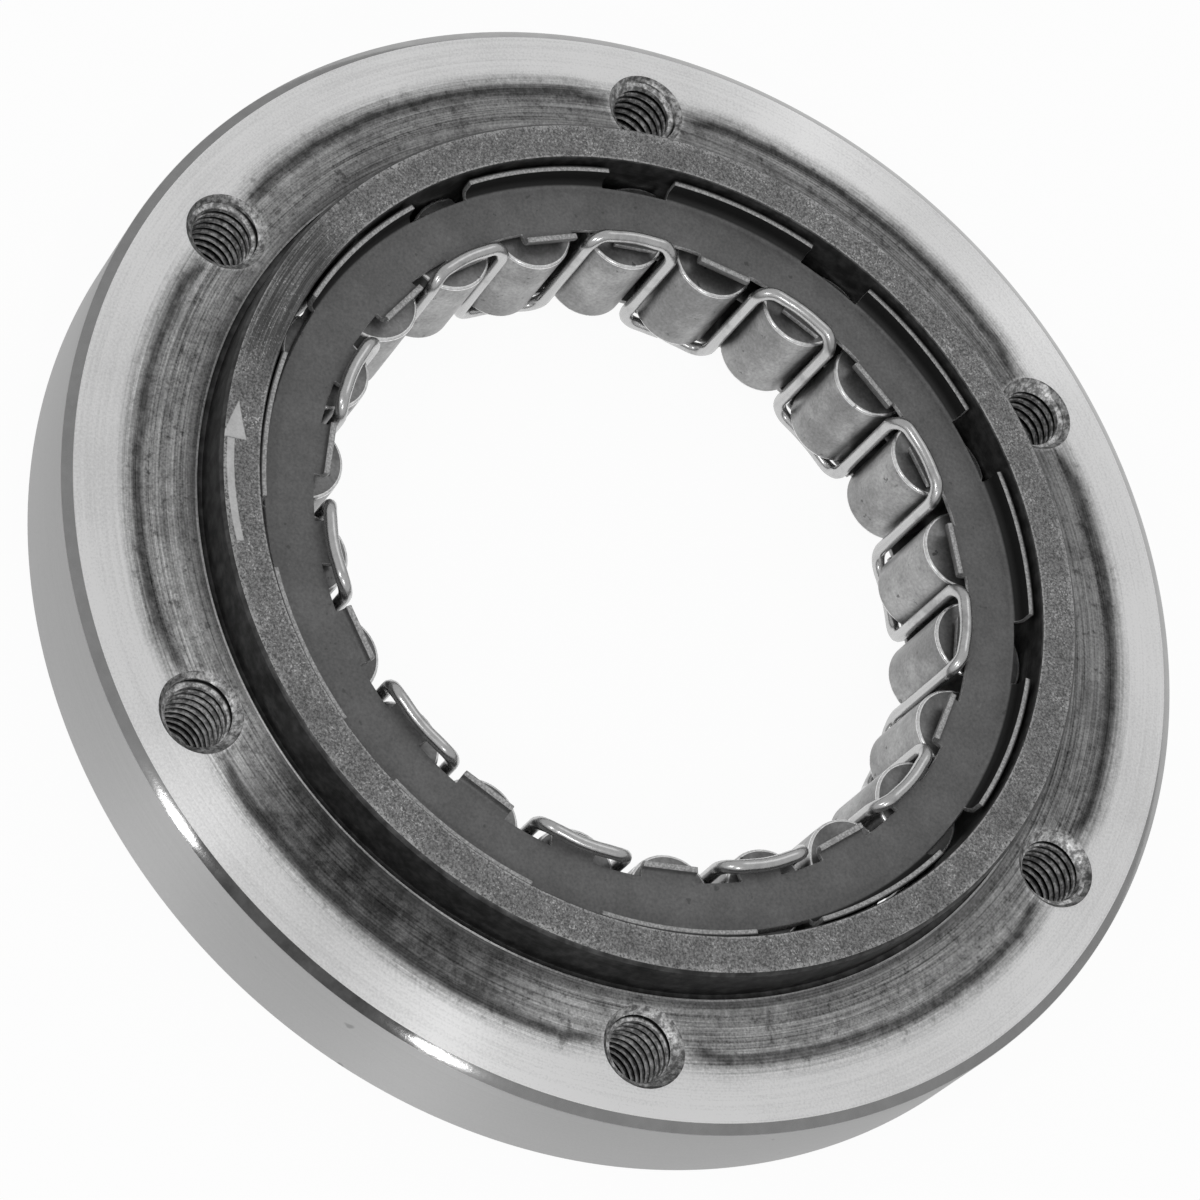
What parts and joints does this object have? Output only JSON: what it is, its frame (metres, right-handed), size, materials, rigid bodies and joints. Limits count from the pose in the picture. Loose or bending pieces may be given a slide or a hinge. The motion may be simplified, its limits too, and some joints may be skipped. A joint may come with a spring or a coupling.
{
  "type": "sprag clutch",
  "caption": "Flanged one-way clutch: a ring of rocking sprags in a pressed cage with a zigzag wire spring, inside a hardened race with tapped flange holes.",
  "frame": {"origin": "on the clutch axis, at the flat back face of the flange", "axes": "+Z along the clutch axis, out of the spigot rim; +X through one of the six tapped holes"},
  "size_m": [0.1054, 0.1054, 0.0155],
  "materials": {
    "ground_steel": "turned and ground, heat-tinted round the race",
    "phosphated_sheet": "matt phosphate over pressed sheet",
    "spring_wire": "bright drawn wire",
    "sprag_steel": "tumbled satin, hardened"
  },
  "bodies": {
    "housing": {"housing": "ground_steel"},
    "cage": {"front_cage_plate": "phosphated_sheet", "rear_cage_plate": "phosphated_sheet", "zigzag_spring": "spring_wire"},
    "sprag_01": {"sprag_01": "sprag_steel"},
    "sprag_02": {"sprag_02": "sprag_steel"},
    "sprag_03": {"sprag_03": "sprag_steel"},
    "sprag_04": {"sprag_04": "sprag_steel"},
    "sprag_05": {"sprag_05": "sprag_steel"},
    "sprag_06": {"sprag_06": "sprag_steel"},
    "sprag_07": {"sprag_07": "sprag_steel"},
    "sprag_08": {"sprag_08": "sprag_steel"},
    "sprag_09": {"sprag_09": "sprag_steel"},
    "sprag_10": {"sprag_10": "sprag_steel"},
    "sprag_11": {"sprag_11": "sprag_steel"},
    "sprag_12": {"sprag_12": "sprag_steel"},
    "sprag_13": {"sprag_13": "sprag_steel"},
    "sprag_14": {"sprag_14": "sprag_steel"},
    "sprag_15": {"sprag_15": "sprag_steel"},
    "sprag_16": {"sprag_16": "sprag_steel"},
    "sprag_17": {"sprag_17": "sprag_steel"},
    "sprag_18": {"sprag_18": "sprag_steel"},
    "sprag_19": {"sprag_19": "sprag_steel"},
    "sprag_20": {"sprag_20": "sprag_steel"},
    "sprag_21": {"sprag_21": "sprag_steel"},
    "sprag_22": {"sprag_22": "sprag_steel"}
  },
  "joints": [
    {"name": "cage_spin", "type": "hinge", "parent": "housing", "child": "cage", "pos_m": [0, 0, 0.0067], "axis": [0, 0, 1], "continuous": true},
    {"name": "sprag_01_tilt", "type": "hinge", "parent": "cage", "child": "sprag_01", "pos_m": [0.03176, 0.00067, 0.0067], "axis": [0, 0, 1], "range_deg": [-26, 0], "stiffness_Nm_per_rad": 0.01},
    {"name": "sprag_02_tilt", "type": "hinge", "parent": "cage", "child": "sprag_02", "pos_m": [0.03029, 0.00959, 0.0067], "axis": [0, 0, 1], "range_deg": [-26, 0], "stiffness_Nm_per_rad": 0.01},
    {"name": "sprag_03_tilt", "type": "hinge", "parent": "cage", "child": "sprag_03", "pos_m": [0.02636, 0.01773, 0.0067], "axis": [0, 0, 1], "range_deg": [-26, 0], "stiffness_Nm_per_rad": 0.01},
    {"name": "sprag_04_tilt", "type": "hinge", "parent": "cage", "child": "sprag_04", "pos_m": [0.0203, 0.02444, 0.0067], "axis": [0, 0, 1], "range_deg": [-26, 0], "stiffness_Nm_per_rad": 0.01},
    {"name": "sprag_05_tilt", "type": "hinge", "parent": "cage", "child": "sprag_05", "pos_m": [0.01259, 0.02917, 0.0067], "axis": [0, 0, 1], "range_deg": [-26, 0], "stiffness_Nm_per_rad": 0.01},
    {"name": "sprag_06_tilt", "type": "hinge", "parent": "cage", "child": "sprag_06", "pos_m": [0.00386, 0.03153, 0.0067], "axis": [0, 0, 1], "range_deg": [-26, 0], "stiffness_Nm_per_rad": 0.01},
    {"name": "sprag_07_tilt", "type": "hinge", "parent": "cage", "child": "sprag_07", "pos_m": [-0.00518, 0.03134, 0.0067], "axis": [0, 0, 1], "range_deg": [-26, 0], "stiffness_Nm_per_rad": 0.01},
    {"name": "sprag_08_tilt", "type": "hinge", "parent": "cage", "child": "sprag_08", "pos_m": [-0.0138, 0.02861, 0.0067], "axis": [0, 0, 1], "range_deg": [-26, 0], "stiffness_Nm_per_rad": 0.01},
    {"name": "sprag_09_tilt", "type": "hinge", "parent": "cage", "child": "sprag_09", "pos_m": [-0.0213, 0.02357, 0.0067], "axis": [0, 0, 1], "range_deg": [-26, 0], "stiffness_Nm_per_rad": 0.01},
    {"name": "sprag_10_tilt", "type": "hinge", "parent": "cage", "child": "sprag_10", "pos_m": [-0.02708, 0.01661, 0.0067], "axis": [0, 0, 1], "range_deg": [-26, 0], "stiffness_Nm_per_rad": 0.01},
    {"name": "sprag_11_tilt", "type": "hinge", "parent": "cage", "child": "sprag_11", "pos_m": [-0.03066, 0.00831, 0.0067], "axis": [0, 0, 1], "range_deg": [-26, 0], "stiffness_Nm_per_rad": 0.01},
    {"name": "sprag_12_tilt", "type": "hinge", "parent": "cage", "child": "sprag_12", "pos_m": [-0.03176, -0.00067, 0.0067], "axis": [0, 0, 1], "range_deg": [-26, 0], "stiffness_Nm_per_rad": 0.01},
    {"name": "sprag_13_tilt", "type": "hinge", "parent": "cage", "child": "sprag_13", "pos_m": [-0.03029, -0.00959, 0.0067], "axis": [0, 0, 1], "range_deg": [-26, 0], "stiffness_Nm_per_rad": 0.01},
    {"name": "sprag_14_tilt", "type": "hinge", "parent": "cage", "child": "sprag_14", "pos_m": [-0.02636, -0.01773, 0.0067], "axis": [0, 0, 1], "range_deg": [-26, 0], "stiffness_Nm_per_rad": 0.01},
    {"name": "sprag_15_tilt", "type": "hinge", "parent": "cage", "child": "sprag_15", "pos_m": [-0.0203, -0.02444, 0.0067], "axis": [0, 0, 1], "range_deg": [-26, 0], "stiffness_Nm_per_rad": 0.01},
    {"name": "sprag_16_tilt", "type": "hinge", "parent": "cage", "child": "sprag_16", "pos_m": [-0.01259, -0.02917, 0.0067], "axis": [0, 0, 1], "range_deg": [-26, 0], "stiffness_Nm_per_rad": 0.01},
    {"name": "sprag_17_tilt", "type": "hinge", "parent": "cage", "child": "sprag_17", "pos_m": [-0.00386, -0.03153, 0.0067], "axis": [0, 0, 1], "range_deg": [-26, 0], "stiffness_Nm_per_rad": 0.01},
    {"name": "sprag_18_tilt", "type": "hinge", "parent": "cage", "child": "sprag_18", "pos_m": [0.00518, -0.03134, 0.0067], "axis": [0, 0, 1], "range_deg": [-26, 0], "stiffness_Nm_per_rad": 0.01},
    {"name": "sprag_19_tilt", "type": "hinge", "parent": "cage", "child": "sprag_19", "pos_m": [0.0138, -0.02861, 0.0067], "axis": [0, 0, 1], "range_deg": [-26, 0], "stiffness_Nm_per_rad": 0.01},
    {"name": "sprag_20_tilt", "type": "hinge", "parent": "cage", "child": "sprag_20", "pos_m": [0.0213, -0.02357, 0.0067], "axis": [0, 0, 1], "range_deg": [-26, 0], "stiffness_Nm_per_rad": 0.01},
    {"name": "sprag_21_tilt", "type": "hinge", "parent": "cage", "child": "sprag_21", "pos_m": [0.02708, -0.01661, 0.0067], "axis": [0, 0, 1], "range_deg": [-26, 0], "stiffness_Nm_per_rad": 0.01},
    {"name": "sprag_22_tilt", "type": "hinge", "parent": "cage", "child": "sprag_22", "pos_m": [0.03066, -0.00831, 0.0067], "axis": [0, 0, 1], "range_deg": [-26, 0], "stiffness_Nm_per_rad": 0.01}
  ],
  "couplings": [
    {"joint": "sprag_02_tilt", "follows": "sprag_01_tilt", "ratio": 1},
    {"joint": "sprag_03_tilt", "follows": "sprag_01_tilt", "ratio": 1},
    {"joint": "sprag_04_tilt", "follows": "sprag_01_tilt", "ratio": 1},
    {"joint": "sprag_05_tilt", "follows": "sprag_01_tilt", "ratio": 1},
    {"joint": "sprag_06_tilt", "follows": "sprag_01_tilt", "ratio": 1},
    {"joint": "sprag_07_tilt", "follows": "sprag_01_tilt", "ratio": 1},
    {"joint": "sprag_08_tilt", "follows": "sprag_01_tilt", "ratio": 1},
    {"joint": "sprag_09_tilt", "follows": "sprag_01_tilt", "ratio": 1},
    {"joint": "sprag_10_tilt", "follows": "sprag_01_tilt", "ratio": 1},
    {"joint": "sprag_11_tilt", "follows": "sprag_01_tilt", "ratio": 1},
    {"joint": "sprag_12_tilt", "follows": "sprag_01_tilt", "ratio": 1},
    {"joint": "sprag_13_tilt", "follows": "sprag_01_tilt", "ratio": 1},
    {"joint": "sprag_14_tilt", "follows": "sprag_01_tilt", "ratio": 1},
    {"joint": "sprag_15_tilt", "follows": "sprag_01_tilt", "ratio": 1},
    {"joint": "sprag_16_tilt", "follows": "sprag_01_tilt", "ratio": 1},
    {"joint": "sprag_17_tilt", "follows": "sprag_01_tilt", "ratio": 1},
    {"joint": "sprag_18_tilt", "follows": "sprag_01_tilt", "ratio": 1},
    {"joint": "sprag_19_tilt", "follows": "sprag_01_tilt", "ratio": 1},
    {"joint": "sprag_20_tilt", "follows": "sprag_01_tilt", "ratio": 1},
    {"joint": "sprag_21_tilt", "follows": "sprag_01_tilt", "ratio": 1},
    {"joint": "sprag_22_tilt", "follows": "sprag_01_tilt", "ratio": 1}
  ]
}
